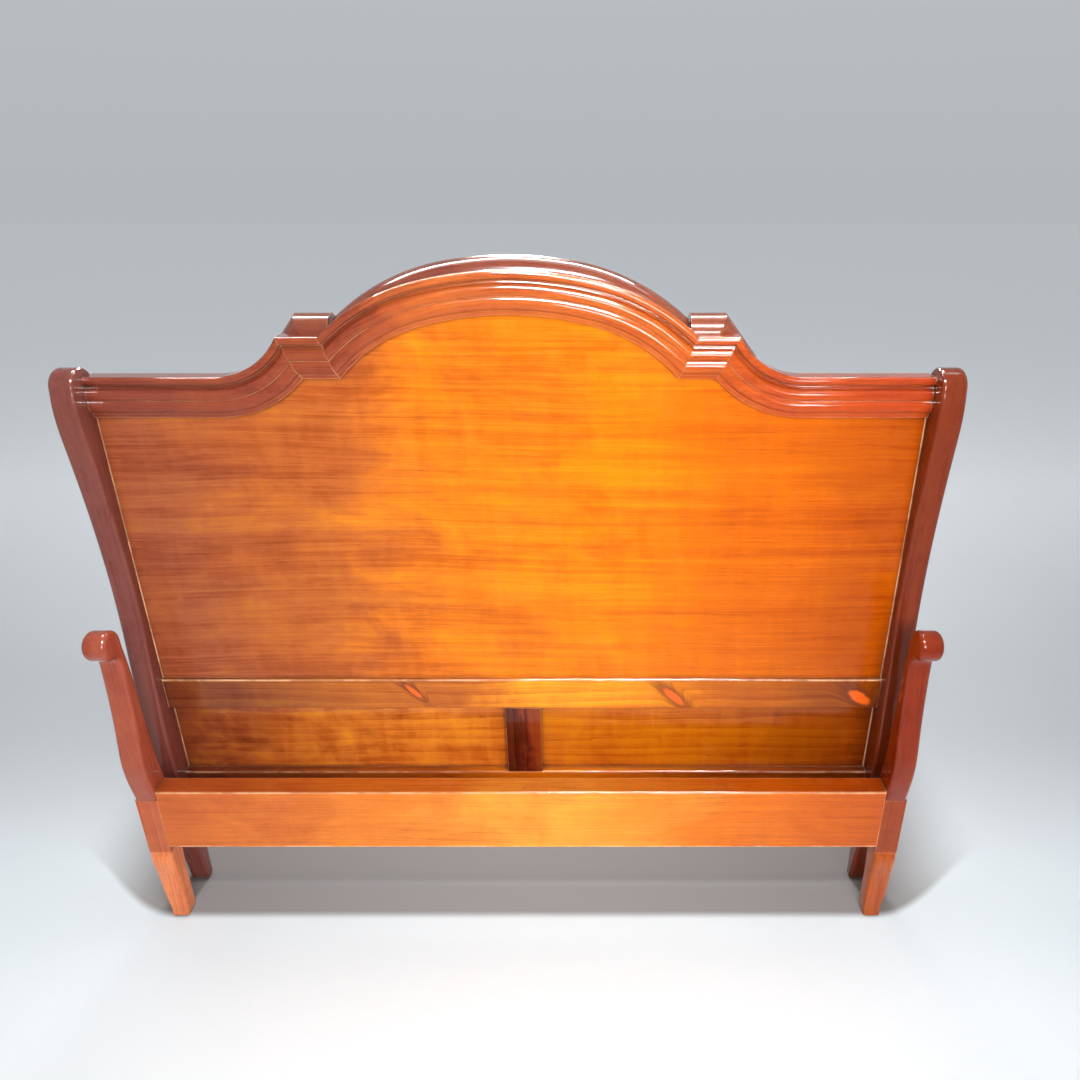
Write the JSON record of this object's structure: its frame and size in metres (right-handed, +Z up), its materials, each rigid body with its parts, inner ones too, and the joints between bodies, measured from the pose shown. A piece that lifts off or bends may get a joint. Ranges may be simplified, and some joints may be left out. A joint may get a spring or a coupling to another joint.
{
  "type": "sleigh bed headboard and footboard",
  "caption": "Sleigh bed ends taken off their side rails: tall headboard with mitred arched crest and scroll posts, and low footboard with scroll arms and cabriole feet.",
  "frame": {"origin": "on the floor, under the middle of the two ends as they stand together", "axes": "+Z up, +X to the right seen from the foot of the bed, -Y towards the foot of the bed (the way the mattress side of the headboard faces)"},
  "size_m": [1.6434, 0.254, 1.4217],
  "materials": {
    "polished_mahogany": "high-gloss red-brown lacquer over mahogany",
    "panel_mahogany": "high-gloss amber lacquer over flat-sawn mahogany",
    "rail_timber": "high-gloss amber lacquer over knotty timber",
    "dark_stile": "high-gloss dark red-brown lacquer",
    "plain_beech": "bare turned beech",
    "zinc_plated_steel": "bright zinc plate",
    "nylon": "matt brown nylon"
  },
  "bodies": {
    "headboard": {"headboard_post_left": "polished_mahogany", "headboard_post_right": "polished_mahogany", "crest_arch": "polished_mahogany", "crest_shoulder_left": "polished_mahogany", "crest_shoulder_right": "polished_mahogany", "crest_wing_left": "polished_mahogany", "crest_wing_right": "polished_mahogany", "crown_roll_arch": "polished_mahogany", "crown_roll_side_left": "polished_mahogany", "crown_roll_side_right": "polished_mahogany", "upper_panel": "panel_mahogany", "lower_panel_left": "panel_mahogany", "lower_panel_right": "panel_mahogany", "mid_rail": "rail_timber", "bottom_rail": "rail_timber", "centre_stile": "dark_stile", "headboard_hook_plate_left": "zinc_plated_steel", "headboard_hook_plate_right": "zinc_plated_steel", "headboard_hook_screws": "zinc_plated_steel", "headboard_glides": "nylon"},
    "footboard": {"footboard_arm_left": "polished_mahogany", "footboard_arm_right": "polished_mahogany", "footboard_leg_left": "polished_mahogany", "footboard_leg_right": "polished_mahogany", "footboard_rail": "rail_timber", "footboard_arm_dowels": "plain_beech", "footboard_hook_plate_left": "zinc_plated_steel", "footboard_hook_plate_right": "zinc_plated_steel", "footboard_hook_screws": "zinc_plated_steel", "footboard_glides": "nylon"}
  },
  "joints": [
    {"name": "footboard_slide", "type": "slide", "parent": "headboard", "child": "footboard", "axis": [0, -1, 0], "range_m": [0, 2]}
  ]
}
